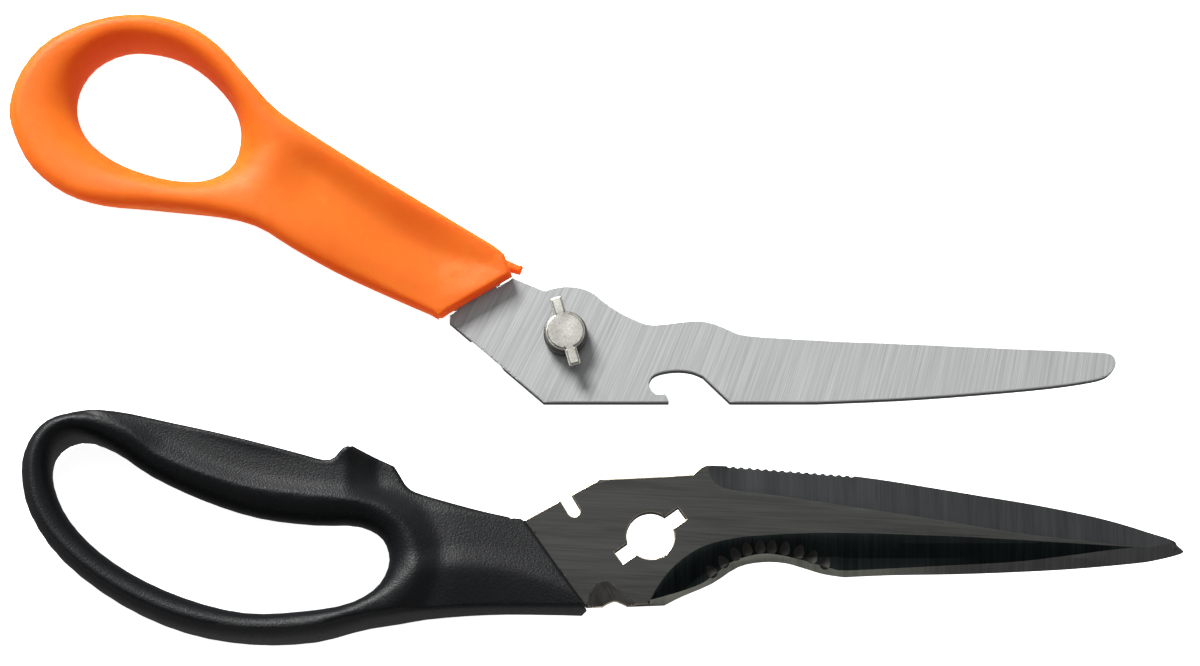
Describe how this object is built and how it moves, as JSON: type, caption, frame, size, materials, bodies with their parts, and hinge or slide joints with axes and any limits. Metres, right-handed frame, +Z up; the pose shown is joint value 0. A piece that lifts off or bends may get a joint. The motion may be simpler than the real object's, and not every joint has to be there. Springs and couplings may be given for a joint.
{
  "type": "take-apart kitchen shears",
  "caption": "Take-apart kitchen shears: a handled plain blade with a bayonet pivot stud, and a coated, notched and serrated blade with a keyhole, lying separated.",
  "frame": {"origin": "centre of the bounding box in plan, on the surface that both halves lie on", "axes": "+X from the handles toward the blade tips, +Y from the finger half toward the thumb half, +Z up from the surface"},
  "size_m": [0.2334, 0.13, 0.022],
  "materials": {
    "orange_plastic": "fine moulded grain, satin",
    "black_plastic": "fine moulded grain, satin",
    "brushed_steel": "brushed across the blade",
    "coated_steel": "dark hard coating over brushed steel",
    "nickel": "satin nickel, tumbled"
  },
  "bodies": {
    "finger_half": {"finger_handle": "black_plastic", "finger_blade": "coated_steel"},
    "stud_core": {"rivet_core": "nickel"},
    "stud_washer": {"rivet_washer": "nickel"},
    "thumb_half": {"thumb_handle": "orange_plastic", "thumb_blade": "brushed_steel", "pivot_stud": "nickel", "pivot_collar": "nickel"}
  },
  "joints": [
    {"name": "bring_together", "type": "slide", "parent": "finger_half", "child": "stud_core", "axis": [0.3714, -0.9285, 0], "range_m": [0, 0.04523]},
    {"name": "seat", "type": "slide", "parent": "stud_core", "child": "stud_washer", "axis": [0, 0, 1], "range_m": [0, 0.0044]},
    {"name": "open", "type": "hinge", "parent": "stud_washer", "child": "thumb_half", "pos_m": [-0.00475, -0.00113, 0.008], "axis": [0, 0, -1], "range_deg": [0, 70.5]}
  ]
}
